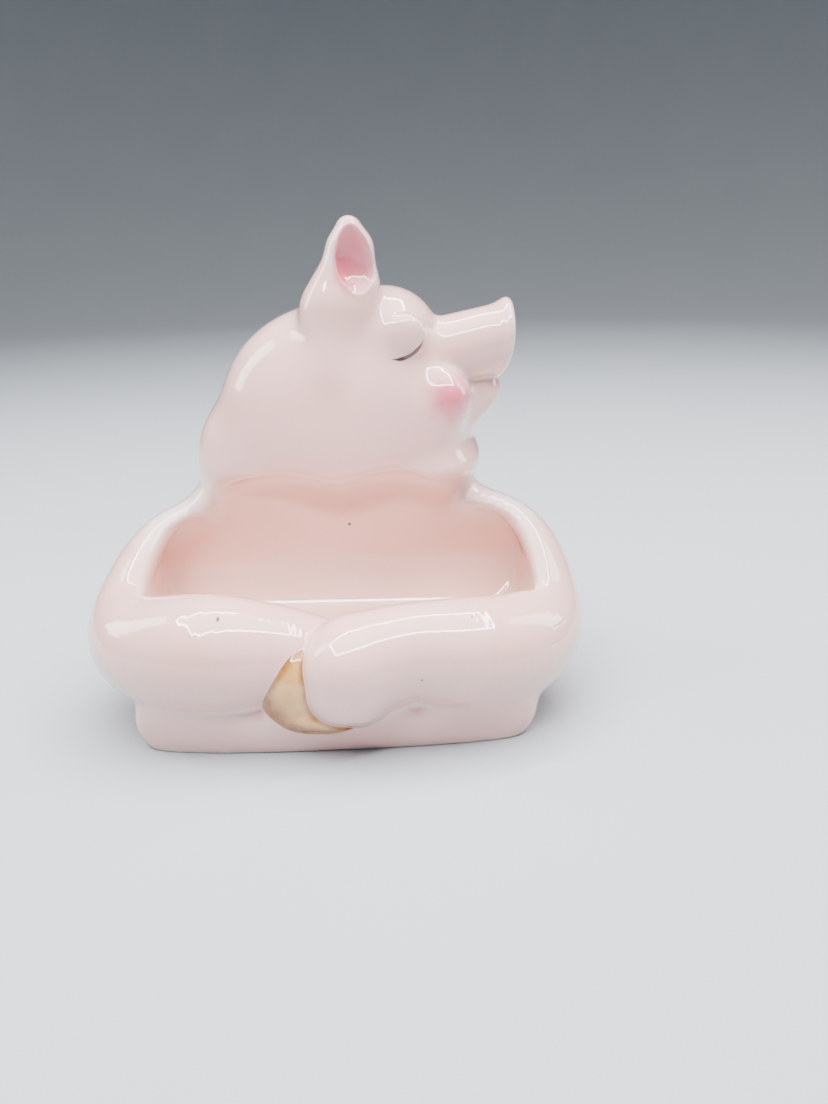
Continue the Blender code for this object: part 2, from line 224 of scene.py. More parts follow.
def smooth_route(points):
    """A smooth curve through stations of x, y, z and radius."""
    route = [np.array(q, float) for q in points]
    route = [2 * route[0] - route[1]] + route + [2 * route[-1] - route[-2]]
    made = []
    for a, b, c, d in zip(route, route[1:], route[2:], route[3:]):
        for t in np.linspace(0, 1, LIMB_STEPS, endpoint=False):
            made.append(0.5 * (2 * b + (c - a) * t + (2 * a - 5 * b + 4 * c - d) * t * t
                               + (3 * b - a - 3 * c + d) * t ** 3))
    return made + [route[-2]]


def limb(p, route):
    """Distance to a limb: short rods along its route, each as thick as the limb is there."""
    best = np.full(len(p), FAR)
    for one, two in zip(route, route[1:]):
        run = two[:3] - one[:3]
        from_one = p - one[:3]
        t = np.clip(from_one @ run / (run @ run), 0, 1)
        away = np.sqrt(((from_one - t[:, None] * run) ** 2).sum(1))
        np.minimum(best, away - one[3] - t * (two[3] - one[3]), out=best)
    return best


ROUTES = {"arm_right": smooth_route(ARM_RIGHT), "arm_left": smooth_route(ARM_LEFT)}


def near(p, keep, field):
    """A field worked out only where a mask says that it matters."""
    d = np.full(len(p), FAR)
    if keep.any():
        d[keep] = field(p[keep])
    return d


def plinth(p):
    (_, mid_y, _), (_, half_y, _) = PLINTH
    q = p.copy()
    q[:, :2] /= (1 + PLINTH_FLARE * np.clip(p[:, 2], *PLINTH_FLARE_Z))[:, None]
    block = rounded_box(q, *PLINTH, PLINTH_CORNER)
    bow_y = mid_y + (PLINTH_BOW - half_y - PLINTH_BULGE) * np.sign(mid_y - q[:, 1])
    bow = np.hypot(q[:, 0] - PLINTH_BOW_X, q[:, 1] - bow_y) - PLINTH_BOW
    block = soft_max(block, bow, BLENDS["plinth_bow"])
    return soft_max(block, -p[:, 2], BLENDS["plinth_underside"])


def torso(p):
    d = soft_min(ellipsoid(p, *TORSO), ellipsoid(p, *NECK), BLENDS["neck"])
    d = soft_min(d, ellipsoid(p, *SHOULDER, SHOULDER_LEAN), BLENDS["shoulder"])
    return np.maximum(d, TORSO_FOOT_Z - p[:, 2])


def paired(form, side):
    """One of a pair of the head's forms: its middle and radii."""
    (x, out, z), radii = form
    return (x, MID_Y + out * side, z), radii


def head(p):
    d = soft_min(ellipsoid(p, *SKULL), ellipsoid(p, *BROW), BLENDS["brow"])
    d = soft_min(d, ellipsoid(p, *NAPE), BLENDS["nape"])
    for side in SIDES.values():
        d = soft_min(d, ellipsoid(p, *paired(MUZZLE, side)), BLENDS["muzzle"])
        d = soft_min(d, ellipsoid(p, *paired(CHEEK, side)), BLENDS["cheek"])
    return soft_min(d, ellipsoid(p, *THROAT), BLENDS["throat"])


def ear_stations(stations, side):
    y = MID_Y + side * EAR_SPREAD
    return [(x, y + side * out, z, radius) for x, out, z, radius in stations]


def ear_root(p, side):
    return chain(p, ear_stations(EAR_ROOT, side))


def ear_hollow(p, side):
    """The shallow bowl of an ear, with a deeper fold along its back edge."""
    bowl, fold = (chain(p, ear_stations(form, side)) for form in (EAR_BOWL, EAR_FOLD))
    return soft_min(bowl, fold, BLENDS["ear_fold"])


def ear(p, side):
    y = MID_Y + side * EAR_SPREAD
    d = chain(p, ear_stations(EAR_CORE, side))
    d = soft_max(d, np.abs(p[:, 1] - y) - EAR_HALF_THICKNESS, BLENDS["ear_side"])
    return soft_max(d, -ear_hollow(p, side), BLENDS["ear_bowl"])


def eyelid(p, side):
    return ellipsoid(p, *paired(EYELID, side))


def snout(p):
    x, _, z = p.T
    d = soft_min(taper(p, *SNOUT), ellipsoid(p, *NOSE_DISC), BLENDS["nose_disc"])
    d = soft_max(d, x - SNOUT_END, BLENDS["nose_end"])
    slant = math.radians(SNOUT_CUT)
    under = (x - SNOUT_END) * math.cos(slant) - (z - SNOUT_CUT_Z) * math.sin(slant)
    d = soft_max(d, under, BLENDS["nose_cut"])
    for side in SIDES.values():
        d = soft_max(d, -ellipsoid(p, *paired(NOSTRIL, side)), BLENDS["nostril"])
    return d


def jaw(p):
    return taper(p, *JAW)


def arm_right(p):
    """The right arm, with the small lump left on its elbow where the mould's halves met."""
    return soft_min(limb(p, ROUTES["arm_right"]), ellipsoid(p, *ELBOW_NUB), BLENDS["elbow_nub"])


def arm_left(p):
    """The left arm, with a blunt end that hides the root of its hoof."""
    hand = rounded_box(p, *HAND, HAND_CORNER)
    return soft_min(limb(p, ROUTES["arm_left"]), hand, BLENDS["hand"])


def hoof(p):
    return soft_min(ellipsoid(p, *HOOF_TOE), ellipsoid(p, *HOOF_SOLE), BLENDS["hoof_sole"])


def flat_ellipse(u, v, centre, radii):
    k0 = np.hypot((u - centre[0]) / radii[0], (v - centre[1]) / radii[1])
    k1 = np.hypot((u - centre[0]) / radii[0] ** 2, (v - centre[1]) / radii[1] ** 2) + TINY
    return k0 * (k0 - 1) / k1


def pocket(p):
    """The pocket's space: one outline seen from the front, between its front lip and back wall."""
    x, y, z = p.T
    mid_x, mid_z = sum(POCKET_X) / 2, sum(POCKET_Z) / 2
    qx = np.abs(x - mid_x) - (POCKET_X[1] - mid_x - POCKET_CORNER)
    qz = np.abs(z - mid_z) - (POCKET_Z[1] - mid_z - POCKET_CORNER)
    outline = np.hypot(np.maximum(qx, 0), np.maximum(qz, 0)) + np.minimum(np.maximum(qx, qz), 0)
    outline -= POCKET_CORNER
    for centre, radii in POCKET_ARCHES:
        outline = soft_min(outline, flat_ellipse(x, z, centre, radii), BLENDS["arch"])
    back = (POCKET_Y[1] - POCKET_LEAN * np.maximum(z - POCKET_STEEP_Z, 0) ** 2
            - POCKET_SCOOP * np.maximum(POCKET_STEEP_Z - z, 0) ** 2)
    return soft_max(outline, np.maximum(POCKET_Y[0] - y, y - back), BLENDS["pocket_back"])


def rim_blend(x, z):
    """How broadly the pocket's rim is rounded: most at its two upper corners, least at the chin."""
    outer = smooth_step(*RIM_SIDE_X, np.abs(x - RIM_MID_X))
    corner = RIM_CORNER * outer * smooth_step(*RIM_CORNER_Z, z)
    return RIM + corner - RIM_CHIN * (1 - outer) * smooth_step(*RIM_CHIN_Z, z)


def fields(p):
    """Every cast part's own field, before they are blended."""
    x, y, z = p.T

    def within(heights):
        return (z > heights[0]) & (z < heights[1])

    face = within(FACE_Z) & (x > FACE_BACK_X)
    f = {
        "plinth": near(p, within(FOOT_Z), plinth),
        "torso": torso(p),
        "head": near(p, within(HEAD_Z), head),
        "snout": near(p, face, snout),
        "jaw": near(p, face, jaw),
        "arm_right": near(p, within(ARM_Z), arm_right),
        "arm_left": near(p, within(ARM_Z), arm_left),
        "hoof": near(p, within(ARM_Z), hoof),
        "pocket": near(p, within(POCKET_REACH_Z), pocket),
        "rim_blend": rim_blend(x, z),
        "vent": np.hypot(x - VENT[0], y - VENT[1]) - VENT_RADIUS,
    }
    for name, side in SIDES.items():
        f["root_" + name] = near(p, within(EAR_ROOT_Z), lambda q: ear_root(q, side))
        f["ear_" + name] = near(p, within(EAR_Z), lambda q: ear(q, side))
        f["eyelid_" + name] = near(p, face, lambda q: eyelid(q, side))
    return f


def body(f, z):
    """The whole glazed surface from its parts."""
    d = soft_min(f["torso"], f["plinth"], BLENDS["plinth"])
    d = soft_min(d, f["head"], BLENDS["torso_head"])
    d = soft_min(d, soft_min(f["snout"], f["jaw"], BLENDS["lips"]), BLENDS["face"])
    for name in SIDES:
        d = soft_min(d, f["ear_" + name], BLENDS["ear"])
        d = soft_min(d, f["root_" + name], BLENDS["ear_root"])
        d = soft_min(d, f["eyelid_" + name], BLENDS["eyelid"])
    arms = soft_min(f["arm_right"], f["arm_left"], BLENDS["crossing"])
    arms = soft_min(arms, f["hoof"], BLENDS["hoof"])
    d = soft_max(soft_min(d, arms, BLENDS["arms"]), -f["pocket"], f["rim_blend"])
    return soft_max(d, -np.maximum(f["vent"], z - VENT_TOP), BLENDS["vent"])


def distance(p):
    return body(fields(p), p[:, 2])


def slope(p):
    """The field's value and its gradient."""
    value = distance(p)
    gradient = np.empty_like(p)
    for axis in range(3):
        q = p.copy()
        q[:, axis] += SLOPE_STEP
        gradient[:, axis] = (distance(q) - value) / SLOPE_STEP
    return value, gradient


# ---------------------------------------------------------------- meshing

def sample(low, shape):
    """The field on a grid, worked out finely only near the surface."""
    coarse_shape = [int(math.ceil((n - 1) / COARSE)) + 1 for n in shape]
    axes = [low[i] + np.arange(coarse_shape[i]) * GRID * COARSE for i in range(3)]
    points = np.stack(np.meshgrid(*axes, indexing="ij"), -1).reshape(-1, 3)
    coarse = distance(points).reshape(coarse_shape)
    index = np.stack(np.meshgrid(*[np.arange(n) for n in shape], indexing="ij"), -1)
    nearest = np.rint(index / COARSE).astype(int)
    guess = coarse[nearest[..., 0], nearest[..., 1], nearest[..., 2]]
    close = np.abs(guess) < GRID * COARSE * BAND_SHARE + BAND_SLACK
    values = np.where(guess < 0, -FAR, FAR)
    values[close] = distance(low + index[close] * GRID)
    return values


CORNERS = [(i, j, k) for i in (0, 1) for j in (0, 1) for k in (0, 1)]
EDGES = [(a, b) for a in range(8) for b in range(a + 1, 8)
         if sum(abs(m - n) for m, n in zip(CORNERS[a], CORNERS[b])) == 1]


def surface_net(values, low):
    """One vertex in each cell that the surface crosses, one quad for each crossed grid edge."""
    inside = values < 0
    nx, ny, nz = (n - 1 for n in values.shape)
    count = sum(inside[i:i + nx, j:j + ny, k:k + nz].astype(int) for i, j, k in CORNERS)
    cells = np.argwhere((count > 0) & (count < 8))
    corner = np.stack([values[tuple((cells + c).T)] for c in CORNERS], 1)
    total, crossings = np.zeros((len(cells), 3)), np.zeros(len(cells))
    for a, b in EDGES:
        crossed = (corner[:, a] < 0) != (corner[:, b] < 0)
        t = np.where(crossed, corner[:, a] / np.where(crossed, corner[:, a] - corner[:, b], 1), 0)
        start, end = np.array(CORNERS[a]), np.array(CORNERS[b])
        total += crossed[:, None] * (start + t[:, None] * (end - start))
        crossings += crossed
    points = low + (cells + total / crossings[:, None]) * GRID
    number = np.full((nx, ny, nz), -1)
    number[tuple(cells.T)] = np.arange(len(cells))
    quads = []
    for axis in range(3):
        one, two = (axis + 1) % 3, (axis + 2) % 3
        this_end = np.take(inside, np.arange(values.shape[axis] - 1), axis)
        far_end = np.take(inside, np.arange(1, values.shape[axis]), axis)
        at = np.argwhere(this_end != far_end)
        at = at[(at[:, one] > 0) & (at[:, two] > 0) & (at[:, one] < (nx, ny, nz)[one])
                & (at[:, two] < (nx, ny, nz)[two])]
        ring = []
        for back_one, back_two in ((1, 1), (0, 1), (0, 0), (1, 0)):
            cell = at.copy()
            cell[:, one] -= back_one
            cell[:, two] -= back_two
            ring.append(number[tuple(cell.T)])
        ring = np.stack(ring, 1)
        flip = ~this_end[tuple(at.T)]
        ring[flip] = ring[flip][:, ::-1]
        quads.append(ring)
    return points, np.concatenate(quads)


def relax(points, quads):
    """Even the vertices out along the surface, then put them back on it."""
    ends = np.concatenate([quads[:, [i, (i + 1) % 4]] for i in range(4)])
    links = np.bincount(ends[:, 0], minlength=len(points))[:, None] + TINY
    for turn in range(RELAX_ROUNDS):
        mean = np.stack([np.bincount(ends[:, 0], points[ends[:, 1], i], len(points))
                         for i in range(3)], 1) / links
        if turn:
            points = points + RELAX_SHARE * (mean - points)
        value, gradient = slope(points)
        size = np.maximum((gradient ** 2).sum(1), LEAST_SLOPE)
        points = points - np.clip(value / size, -GRID, GRID)[:, None] * gradient
    return points


# ---------------------------------------------------------------- cutting into pieces

FOOT_SKIN_Z = 5        # the skin below this is the foot's
POCKET_SKIN = 2.0      # the liner's skin reaches this far past the pocket's own outline
CUT_ENDS = (0.04, 0.96)   # a cut keeps this far from an edge's ends, so no sliver is left
CRUMB_SHARE = 0.08     # a patch below this share of its piece goes to the next piece


def regions(f, z):
    """For each piece in turn, a field that is negative on the skin that belongs to it."""
    arms = np.minimum(f["arm_right"], f["arm_left"])
    above_foot = np.minimum(f["torso"], np.minimum(arms, f["hoof"]))
    below_ears = np.minimum(f["head"], np.minimum(f["root_right"], f["root_left"]))
    below_neck = z - NECK_Z
    beside_left_arm = np.minimum(f["arm_right"], f["torso"])
    return {
        "base_plinth": np.minimum(f["plinth"] - above_foot, z - FOOT_SKIN_Z),
        "pocket_liner": np.maximum(f["pocket"] - POCKET_SKIN, below_neck),
        "hoof_left": f["hoof"] - arms,
        "arm_left": np.maximum(f["arm_left"] - beside_left_arm, below_neck),
        "arm_right": np.maximum(f["arm_right"] - f["torso"], below_neck),
        "snout": f["snout"] - np.minimum(f["head"], f["jaw"]),
        "lower_jaw": f["jaw"] - f["head"],
        "ear_right": f["ear_right"] - np.minimum(below_ears, f["ear_left"]),
        "ear_left": f["ear_left"] - below_ears,
        "eyelid_right": f["eyelid_right"] - f["head"],
        "eyelid_left": f["eyelid_left"] - f["head"],
        "torso_shell": below_neck,
    }


LAST_PIECE = "head_shell"


def cut_along(points, tris, g):
    """Split the triangles where g changes sign: new points, the negative part, the rest."""
    side = g < 0
    count = side[tris].sum(1)
    whole_in, whole_out = tris[count == 3], tris[count == 0]
    mixed = tris[(count == 1) | (count == 2)]
    lone_side = side[mixed].sum(1) == 1
    lone = np.argmax(side[mixed] == lone_side[:, None], axis=1)
    a, b, c = (mixed[np.arange(len(mixed)), (lone + i) % 3] for i in range(3))
    ends = np.sort(np.concatenate((np.stack((a, b), 1), np.stack((a, c), 1))), axis=1)
    edges, which = np.unique(ends, axis=0, return_inverse=True)
    which = which.reshape(-1)
    t = np.clip(g[edges[:, 0]] / (g[edges[:, 0]] - g[edges[:, 1]]), *CUT_ENDS)
    new = points[edges[:, 0]] + t[:, None] * (points[edges[:, 1]] - points[edges[:, 0]])
    ab, ac = which[:len(mixed)] + len(points), which[len(mixed):] + len(points)
    tips = np.stack((a, ab, ac), 1)
    stumps = np.concatenate((np.stack((ab, b, c), 1), np.stack((ab, c, ac), 1)))
    stump_side = np.concatenate((~lone_side, ~lone_side))
    inside = np.concatenate((whole_in, tips[lone_side], stumps[stump_side]))
    outside = np.concatenate((whole_out, tips[~lone_side], stumps[~stump_side]))
    return new, inside, outside


def islands(tris, count):
    """A number for each triangle's connected patch."""
    label = np.arange(count)
    while True:
        low = label[tris].min(1)
        fresh = label.copy()
        for i in range(3):
            np.minimum.at(fresh, tris[:, i], low)
        fresh = fresh[fresh]
        if (fresh == label).all():
            return label[tris[:, 0]]
        label = fresh


def main_patches(tris, count):
    """The triangles in patches of some size, and the crumbs."""
    if not len(tris):
        return tris, tris
    patch = islands(tris, count)
    _, number, sizes = np.unique(patch, return_inverse=True, return_counts=True)
    big = sizes[number.reshape(-1)] > CRUMB_SHARE * len(tris)
    return tris[big], tris[~big]


def split_skin(points, tris):
    """The skin's triangles by piece, on one growing list of points."""
    known = regions(fields(points), points[:, 2])
    pieces, rest = {}, tris
    for name in list(known):
        new, inside, outside = cut_along(points, rest, known[name])
        points = np.concatenate((points, new))
        added = regions(fields(new), new[:, 2])
        known = {key: np.concatenate((known[key], added[key])) for key in known}
        inside, crumbs = main_patches(inside, len(points))
        pieces[name], rest = inside, np.concatenate((outside, crumbs))
    pieces[LAST_PIECE] = rest
    return points, pieces


def shell(tris, points, normals, wall):
    """Close a patch of skin with an inner face and a rim; return faces and which are skin."""
    used, faces = np.unique(tris, return_inverse=True)
    faces = faces.reshape(-1, 3)
    outer, out = points[used], normals[used]
    count = len(used)
    ends = np.concatenate([faces[:, [i, (i + 1) % 3]] for i in range(3)])
    code = ends[:, 0].astype(np.int64) * count + ends[:, 1]
    back = ends[:, 1].astype(np.int64) * count + ends[:, 0]
    rim = ends[~np.isin(code, back)]
    walls = np.concatenate((
        np.stack((rim[:, 1], rim[:, 0], rim[:, 0] + count), 1),
        np.stack((rim[:, 1], rim[:, 0] + count, rim[:, 1] + count), 1),
    ))
    verts = np.concatenate((outer, outer - wall * out))
    return used, verts, np.concatenate((faces, faces[:, ::-1] + count, walls)), len(faces)


# ---------------------------------------------------------------- pieces in Blender

# A mark rises from 0 to 1 between two values of a distance, or of what is named here.
CREASE_REACH, CREASE_RANGE = 4.5, (0.12, 0.9)
RIDGE_REACH, RIDGE_RANGE = 3.0, (0.15, 0.75)
EAR_BOWL_EDGE = (1.6, -0.4)
POCKET_EDGE = (3.5, -0.2)
HOOF_EDGE = (1.7, 0.3)
HOOF_UNDER = (0.15, 0.55)                       # how far a normal turns down and to the pig's right
HOOF_UNDER_WAY = np.array([-0.75, 0.0, -0.66])


def surface_marks(points, normals, f):
    """How deep in a crease or near a ridge each point lies, and where the paint goes."""
    ahead = distance(points + CREASE_REACH * normals)
    behind = distance(points - RIDGE_REACH * normals)
    bowl = np.minimum(ear_hollow(points, -1), ear_hollow(points, 1))
    beside = np.minimum(f["arm_right"], f["arm_left"])
    hoof_edge = smooth_step(*HOOF_EDGE, np.abs(f["hoof"] - beside))
    hoof_sole = smooth_step(*HOOF_UNDER, normals @ HOOF_UNDER_WAY)
    return {
        # crease: how shut in by nearby surfaces a point is, which places the painted shade
        "crease": smooth_step(*CREASE_RANGE, 1 - ahead / CREASE_REACH),
        # ridge: how thin the form is behind a point, which places the painted light
        "ridge": smooth_step(*RIDGE_RANGE, 1 + behind / RIDGE_REACH),
        "ear_bowl": smooth_step(*EAR_BOWL_EDGE, bowl),
        "pocket": smooth_step(*POCKET_EDGE, f["pocket"]),
        "hoof_rim": np.maximum(hoof_edge, hoof_sole),
    }


def make_piece(name, tris, points, normals, marks, shade):
    wall = THIN_WALLS.get(name, WALL)
    used, verts, faces, skin_count = shell(tris, points, normals, wall)
    mesh = bpy.data.meshes.new(name)
    place = (verts - CENTRE) * MM
    mesh.vertices.add(len(place))
    mesh.vertices.foreach_set("co", place.ravel())
    mesh.loops.add(len(faces) * 3)
    mesh.loops.foreach_set("vertex_index", faces.ravel())
    mesh.polygons.add(len(faces))
    mesh.polygons.foreach_set("loop_start", np.arange(len(faces)) * 3)
    mesh.update(calc_edges=True)
    for key, values in marks.items():
        layer = mesh.attributes.new(key, "FLOAT", "POINT")
        layer.data.foreach_set("value", np.tile(values[used], 2).astype(np.float32))
    flat = np.empty(len(faces) * 3)
    mesh.polygons.foreach_get("normal", flat)
    corner_normals = np.repeat(flat.reshape(-1, 3), 3, axis=0)
    corner_normals[:skin_count * 3] = normals[used][faces[:skin_count].ravel()]
    mesh.polygons.foreach_set("use_smooth", np.ones(len(faces), bool))
    mesh.normals_split_custom_set(corner_normals)
    mesh.materials.append(shade)
    obj = bpy.data.objects.new("glazed_" + name, mesh)
    bpy.context.scene.collection.objects.link(obj)
    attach(obj, "root")
    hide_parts(name)


# ---------------------------------------------------------------- materials

def srgb(*levels):
    """An sRGB colour of 0 to 255 as a linear one."""
    linear = []
    for level in levels:
        v = level / 255
        linear.append(v / 12.92 if v <= 0.04045 else ((v + 0.055) / 1.055) ** 2.4)
    return (*linear, 1.0)


def here(x, y, z):
    """A place in the field's frame as object coordinates, in metres."""
    return tuple((np.array((x, y, z)) - CENTRE) * MM)


class Nodes:
    """A material's node tree, with short ways to add the nodes that the glaze uses."""

    def __init__(self, name):
        self.material = bpy.data.materials.new(name)
        self.material.use_nodes = True
        self.tree = self.material.node_tree
        self.shader = self.tree.nodes["Principled BSDF"]
        self.where = self.add("ShaderNodeTexCoord").outputs["Object"]

    def add(self, kind, **values):
        node = self.tree.nodes.new(kind)
        for key, value in values.items():
            setattr(node, key, value)
        return node

    def link(self, source, target):
        if isinstance(source, bpy.types.NodeSocket):
            self.tree.links.new(source, target)
        else:
            target.default_value = source

    def math(self, operation, a, b=0.0):
        node = self.add("ShaderNodeMath", operation=operation)
        self.link(a, node.inputs[0])
        self.link(b, node.inputs[1])
        return node.outputs[0]

    def ramp(self, value, low, high, to_low=0.0, to_high=1.0):
        """A smooth step from to_low to to_high."""
        node = self.add("ShaderNodeMapRange", interpolation_type="SMOOTHSTEP")
        self.link(value, node.inputs["Value"])
        for socket, number in (("From Min", low), ("From Max", high),
                               ("To Min", to_low), ("To Max", to_high)):
            node.inputs[socket].default_value = number
        return node.outputs["Result"]

    def mix(self, amount, a, b):
        node = self.add("ShaderNodeMix", data_type="RGBA")
        self.link(amount, node.inputs["Factor"])
        self.link(a, node.inputs["A"])
        self.link(b, node.inputs["B"])
        return node.outputs["Result"]

    def noise(self, size_mm, detail=2.0, offset=0.0):
        """Noise whose blotches are about so many millimetres wide."""
        shift = self.add("ShaderNodeVectorMath", operation="ADD")
        self.link(self.where, shift.inputs[0])
        shift.inputs[1].default_value = (offset, -offset, 0.5 * offset)
        node = self.add("ShaderNodeTexNoise")
        self.link(shift.outputs[0], node.inputs["Vector"])
        node.inputs["Scale"].default_value = MM_PER_METRE / size_mm
        node.inputs["Detail"].default_value = detail
        return node.outputs["Fac"]

    def mark(self, name):
        return self.add("ShaderNodeAttribute", attribute_name=name).outputs["Fac"]

    def away(self, place, stretch=(1.0, 1.0, 1.0)):
        """Distance from a place, in millimetres, measured unevenly along the axes."""
        step = self.add("ShaderNodeVectorMath", operation="SUBTRACT")
        self.link(self.where, step.inputs[0])
        step.inputs[1].default_value = place
        scaled = self.add("ShaderNodeVectorMath", operation="MULTIPLY")
        self.link(step.outputs[0], scaled.inputs[0])
        scaled.inputs[1].default_value = [MM_PER_METRE / s for s in stretch]
        length = self.add("ShaderNodeVectorMath", operation="LENGTH")
        self.link(scaled.outputs[0], length.inputs[0])
        return length.outputs["Value"]

    def bump(self, height, distance_mm, strength, below=None):
        node = self.add("ShaderNodeBump")
        self.link(height, node.inputs["Height"])
        node.inputs["Distance"].default_value = distance_mm * MM
        node.inputs["Strength"].default_value = strength
        if below is not None:
            self.link(below, node.inputs["Normal"])
        return node.outputs["Normal"]


GLAZE = srgb(241, 195, 188)
GLAZE_WARM = srgb(243, 192, 183)
# painted light: a lighter, warmer pink that stands in for light bounced round inside the pocket
GLAZE_POCKET_BOUNCE_LIGHT = srgb(254, 210, 196)
GLAZE_THROAT = srgb(240, 186, 177)
# painted light: a paler pink laid on ridges
GLAZE_RIDGE_LIGHT = srgb(250, 233, 228)
# painted shade: the darker pink laid into creases and hollows
GLAZE_CREASE_SHADE = srgb(226, 172, 160)
BLUSH = srgb(220, 92, 124)
EAR_PINK = srgb(220, 92, 118)
LASH = srgb(56, 33, 22)
SPECK = srgb(96, 62, 44)
TAN = srgb(216, 158, 94)
TAN_PALE = srgb(227, 179, 116)
TAN_BROWN = srgb(150, 84, 34)
BARE_CLAY = srgb(232, 222, 208)
BARE_CLAY_DARK = srgb(214, 200, 182)
CLOTH, CLOTH_PALE = srgb(174, 180, 186), srgb(181, 186, 192)

# How fully each colour covers what lies under it, at its strongest.
COVER = {"throat": 0.8, "pocket": 0.9, "crease_shade": 0.65, "ridge_light": 0.7, "blush": 0.85,
         "ear": 0.95, "pinprick": 0.35, "lash": 0.96, "hoof_rim": 0.9}
# how much of the painted crease shade is left out inside the pocket
CREASE_SHADE_LOST_IN_POCKET = 0.55
GLAZE_IOR, COAT_IOR = 1.52, 1.5
COAT_ROUGHNESS = 0.03
ROUGHNESS = (0.05, 0.11)

# Each lash line is an arc: its middle and radius in x and z, and how far it runs either way.
LASH_CENTRE = (19.5, 107.2)
LASH_RADIUS = 7.7
LASH_MIDDLE = -1.08     # radians round the centre
LASH_REACH = 0.70
LASH_HALF_WIDTH = 0.54
LASH_TAPER = 0.3        # radians from the middle, where the stroke starts to thin
LASH_THIN = 0.1         # half its width at the ends
LASH_SOFT = 0.16        # how far its edge fades, either way

# A patch of paint: its middle, how it is stretched, and the reach over which it fades out.
BLUSH_PLACE, BLUSH_STRETCH, BLUSH_FADE = (34.4, -6.5, 89.6), (1.0, 1.6, 0.95), (11.0, 1.5)
THROAT_PLACE, THROAT_STRETCH, THROAT_FADE = (4.0, 4.0, 68.0), (1.5, 1.6, 1.0), (30.0, 6.0)
EAR_PINK_PLACE, EAR_PINK_STRETCH, EAR_PINK_FADE = (5.0, 0.5, 126.5), (1.25, 1.0, 1.0), (17.0, 3.0)

# Specks: place and radius. A speck is long in y, so it meets the skin wherever that lies.
SPECKS = (
    (-28.6, -38.0, 40.0, 0.62), (22.6, -44.0, 24.3, 0.4), (36.3, -38.0, 37.5, 0.38),
    (4.1, 16.0, 48.0, 0.7),
)
SPECK_STRETCH = (1.0, 26.0, 1.0)
PINPRICK_SPACING = 16.0
PINPRICK_RADIUS = 0.011  # a share of the spacing
SCAR_PLACES = ((56.5, -24.0, 27.5), (53.0, -28.0, 19.5), (60.5, -18.0, 31.0))
SCAR_SIZE = (6.5, 12.0, 0.55)

# The foot's glaze is wiped off up to about half a millimetre, in metres of height.
WIPED = (7e-4, 3e-4)
WIPED_WANDER = 2e-4
BARE_ROUGHNESS, FOOT_ROUGHNESS = 0.85, 0.07


def glaze_surface(n, colour):
    """Gloss, a faint orange peel, the slow waves of a hand-dipped glaze, and three shallow scars."""
    rough = n.ramp(n.noise(9.0, 3.0, 0.31), 0.35, 0.7, *ROUGHNESS)
    n.link(colour, n.shader.inputs["Base Color"])
    n.link(rough, n.shader.inputs["Roughness"])
    n.shader.inputs["IOR"].default_value = GLAZE_IOR
    n.shader.inputs["Coat Weight"].default_value = 1.0
    n.shader.inputs["Coat Roughness"].default_value = COAT_ROUGHNESS
    n.shader.inputs["Coat IOR"].default_value = COAT_IOR
    waves = n.bump(n.noise(19.0, 1.0, 0.11), 0.10, 0.35)
    peel = n.bump(n.noise(4.5, 1.0, 0.23), 0.005, 0.2, waves)
    for place in SCAR_PLACES:
        wander = n.ramp(n.noise(2.5, 1.0, 0.6), 0.2, 0.8, -0.35, 0.35)
        across = n.math("ADD", n.away(here(*place), SCAR_SIZE), wander)
        peel = n.bump(n.ramp(across, 1.0, 0.2), -0.25, 0.8, peel)
    n.link(peel, n.shader.inputs["Normal"])
    n.link(peel, n.shader.inputs["Coat Normal"])


def glaze_colour(n):
    """The pale pink: warmer in patches, with painted shade in creases and painted light on ridges
    and inside the pocket.
    """
    in_pocket = n.mark("pocket")
    colour = n.mix(n.ramp(n.noise(26.0, 2.0), 0.35, 0.68), GLAZE, GLAZE_WARM)
    from_throat = n.away(here(*THROAT_PLACE), THROAT_STRETCH)
    colour = n.mix(n.ramp(from_throat, *THROAT_FADE, 0.0, COVER["throat"]), colour, GLAZE_THROAT)
    # painted light: the pocket's inside is made lighter and warmer
    colour = n.mix(n.math("MULTIPLY", in_pocket, COVER["pocket"]), colour, GLAZE_POCKET_BOUNCE_LIGHT)
    lost = n.math("MULTIPLY", in_pocket, CREASE_SHADE_LOST_IN_POCKET)
    # painted shade: darker pink in creases, weaker inside the pocket
    crease_shade = n.math("MULTIPLY", n.mark("crease"), n.math("SUBTRACT", COVER["crease_shade"], lost))
    colour = n.mix(crease_shade, colour, GLAZE_CREASE_SHADE)
    # painted light: paler pink on ridges
    return n.mix(n.math("MULTIPLY", n.mark("ridge"), COVER["ridge_light"]), colour, GLAZE_RIDGE_LIGHT)


def mirrored(x, y, z):
    """Object coordinates of a place and of its mirror image about the head's middle plane."""
    return here(x, y, z), here(x, 2 * MID_Y - y, z)


def airbrush(n, colour):
    """Pink cheeks with a soft edge that is a little uneven, as sprayed."""
    grain = n.ramp(n.noise(2.2, 2.0, 0.4), 0.2, 0.8, -0.9, 0.9)
    for place in mirrored(*BLUSH_PLACE):
        reach = n.math("ADD", n.away(place, BLUSH_STRETCH), grain)
        colour = n.mix(n.ramp(reach, *BLUSH_FADE, 0.0, COVER["blush"]), colour, BLUSH)
    return colour


def ear_paint(n, colour):
    """Pink in each ear's bowl, deepest against the fold and faded towards the tip and the root."""
    near_side, far_side = (n.away(place, EAR_PINK_STRETCH) for place in mirrored(*EAR_PINK_PLACE))
    reach = n.math("MINIMUM", near_side, far_side)
    deep = n.math("MULTIPLY", n.ramp(reach, *EAR_PINK_FADE), n.mark("ear_bowl"))
    return n.mix(n.math("MULTIPLY", deep, COVER["ear"]), colour, EAR_PINK)


